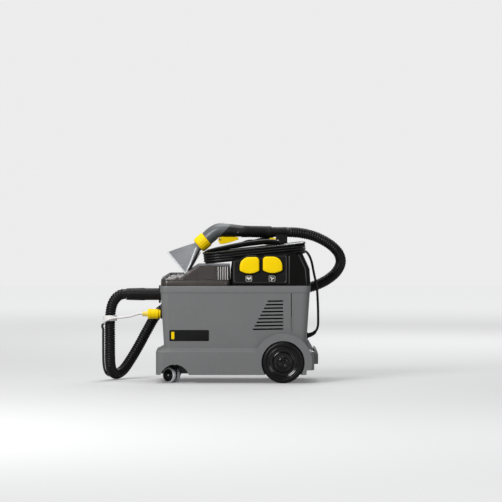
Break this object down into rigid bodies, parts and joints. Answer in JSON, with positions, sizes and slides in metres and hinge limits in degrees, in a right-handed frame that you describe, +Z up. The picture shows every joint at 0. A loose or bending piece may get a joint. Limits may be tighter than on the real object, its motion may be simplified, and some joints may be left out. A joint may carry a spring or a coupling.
{
  "type": "spot extractor",
  "caption": "Compact spray extraction cleaner on rear wheels and swivel casters, with a parked hand tool, hose, clear recovery tank, push buttons, carry handle and wound power cord.",
  "frame": {"origin": "on the floor under the middle of the machine's own box, its free hose and cords left out", "axes": "+Z up, -X the front with the hose sockets, +X the rear with the large wheels, -Y the side with the two push buttons"},
  "size_m": [0.8022, 0.357, 0.5138],
  "materials": {
    "grey_shell": "fine textured",
    "black_gloss": "gloss",
    "black_matt": "satin",
    "yellow": "semi-gloss",
    "anthracite": "satin",
    "smoke_clear": "clear smoked",
    "nozzle_clear": "clear grey",
    "tank_white": "natural",
    "hose_black": "ribbed satin",
    "cord_black": "matt",
    "rubber": "matt",
    "tread_grey": "matt",
    "steel": "bright",
    "copper_core": "varnished",
    "strap_white": "matt",
    "line_clear": "translucent"
  },
  "bodies": {
    "chassis": {"base_housing": "grey_shell", "floor_pan": "black_matt", "upper_housing": "black_gloss", "control_panel": "black_gloss", "cord_deck": "black_gloss", "carry_handle": "black_gloss", "housing_screws": "steel", "fresh_water_tank": "tank_white", "recovery_tank": "smoke_clear", "tank_lid": "smoke_clear", "lid_seal": "rubber", "float_cage": "tank_white", "suction_elbow": "black_matt", "suction_port": "black_matt", "spray_socket": "black_matt", "pump_hoses": "line_clear", "motor_housing": "black_matt", "motor_can": "steel", "pump_body": "tank_white", "switch_blocks": "black_matt", "mains_gland": "rubber", "rear_axle": "steel", "axle_clips": "steel", "rear_bumper": "black_matt", "tool_rest": "black_matt", "tool_neck": "anthracite", "tool_grip": "black_matt", "tool_cuff": "black_matt", "nozzle_head": "nozzle_clear", "nozzle_lip": "anthracite", "spray_tip": "yellow", "trigger_pin": "steel", "valve_body": "tank_white", "suction_hose": "hose_black", "spray_line": "cord_black", "spray_coupling": "strap_white", "hose_clips": "black_matt", "hose_strap": "strap_white", "power_cord": "cord_black", "cord_coil": "cord_black", "mains_plug": "black_matt"},
    "rear_wheel_near": {"rear_wheel_near": "black_gloss", "hub_cap_near": "black_gloss"},
    "rear_wheel_far": {"rear_wheel_far": "black_gloss", "hub_cap_far": "black_gloss"},
    "caster_near": {"caster_fork_near": "black_matt"},
    "caster_near_wheels": {"caster_wheels_near": "tread_grey"},
    "caster_far": {"caster_fork_far": "black_matt"},
    "caster_far_wheels": {"caster_wheels_far": "tread_grey"},
    "pump_button": {"pump_button": "yellow"},
    "suction_button": {"suction_button": "yellow"},
    "trigger": {"trigger": "yellow"},
    "valve_stem": {"valve_stem": "steel"},
    "union_nut": {"union_nut": "yellow"},
    "turbine_rotor": {"turbine_rotor": "copper_core"},
    "pump_plunger": {"pump_plunger": "steel"},
    "float_ball": {"float_ball": "yellow"},
    "tool_latch": {"tool_latch": "yellow"},
    "hose_cuff": {"hose_cuff": "black_matt"},
    "coupling_sleeve": {"coupling_sleeve": "yellow"}
  },
  "joints": [
    {"name": "rear_wheel_near_spin", "type": "hinge", "parent": "chassis", "child": "rear_wheel_near", "pos_m": [0.1485, -0.146, 0.067], "axis": [0, 1, 0], "continuous": true},
    {"name": "rear_wheel_far_spin", "type": "hinge", "parent": "chassis", "child": "rear_wheel_far", "pos_m": [0.1485, 0.146, 0.067], "axis": [0, 1, 0], "continuous": true},
    {"name": "caster_near_swivel", "type": "hinge", "parent": "chassis", "child": "caster_near", "pos_m": [-0.202, -0.116, 0.05], "axis": [0, 0, 1], "continuous": true},
    {"name": "caster_far_swivel", "type": "hinge", "parent": "chassis", "child": "caster_far", "pos_m": [-0.202, 0.116, 0.05], "axis": [0, 0, 1], "continuous": true},
    {"name": "caster_near_roll", "type": "hinge", "parent": "caster_near", "child": "caster_near_wheels", "pos_m": [-0.21272, -0.107, 0.0245], "axis": [0.6428, 0.766, 0], "continuous": true},
    {"name": "caster_far_roll", "type": "hinge", "parent": "caster_far", "child": "caster_far_wheels", "pos_m": [-0.21272, 0.107, 0.0245], "axis": [-0.6428, 0.766, 0], "continuous": true},
    {"name": "pump_button_press", "type": "slide", "parent": "chassis", "child": "pump_button", "axis": [0, 1, 0], "range_m": [0, 0.005], "stiffness_N_per_m": 600, "springref_m": -0.002},
    {"name": "suction_button_press", "type": "slide", "parent": "chassis", "child": "suction_button", "axis": [0, 1, 0], "range_m": [0, 0.005], "stiffness_N_per_m": 600, "springref_m": -0.002},
    {"name": "trigger_pull", "type": "hinge", "parent": "chassis", "child": "trigger", "pos_m": [-0.058, 0.052, 0.462], "axis": [0, -1, 0], "range_deg": [0, 8], "stiffness_Nm_per_rad": 0.4, "springref_deg": -5.73},
    {"name": "valve_lift", "type": "slide", "parent": "chassis", "child": "valve_stem", "axis": [0, 0, 1], "range_m": [0, 0.006]},
    {"name": "union_nut_turn", "type": "hinge", "parent": "chassis", "child": "union_nut", "pos_m": [-0.114, 0.052, 0.451], "axis": [-0.76, 0, -0.65], "range_deg": [0, 180]},
    {"name": "turbine_spin", "type": "hinge", "parent": "chassis", "child": "turbine_rotor", "pos_m": [0.118, 0, 0.2], "axis": [0, 0, 1], "continuous": true},
    {"name": "plunger_stroke", "type": "slide", "parent": "chassis", "child": "pump_plunger", "axis": [1, 0, 0], "range_m": [-0.002, 0.002], "stiffness_N_per_m": 2000},
    {"name": "float_lift", "type": "slide", "parent": "chassis", "child": "float_ball", "axis": [0, 0, 1], "range_m": [0, 0.038]},
    {"name": "tool_latch_swing", "type": "hinge", "parent": "chassis", "child": "tool_latch", "pos_m": [0.1158, 0.0273, 0.4485], "axis": [1, 0, 0], "range_deg": [0, 30]},
    {"name": "hose_cuff_swivel", "type": "hinge", "parent": "chassis", "child": "hose_cuff", "pos_m": [-0.3, 0, 0.283], "axis": [1, 0, 0], "continuous": true},
    {"name": "coupling_release", "type": "slide", "parent": "chassis", "child": "coupling_sleeve", "axis": [-1, 0, 0], "range_m": [0, 0.005], "stiffness_N_per_m": 800, "springref_m": -0.002}
  ],
  "couplings": [
    {"joint": "valve_lift", "follows": "trigger_pull", "m_per_rad": 0.03}
  ]
}
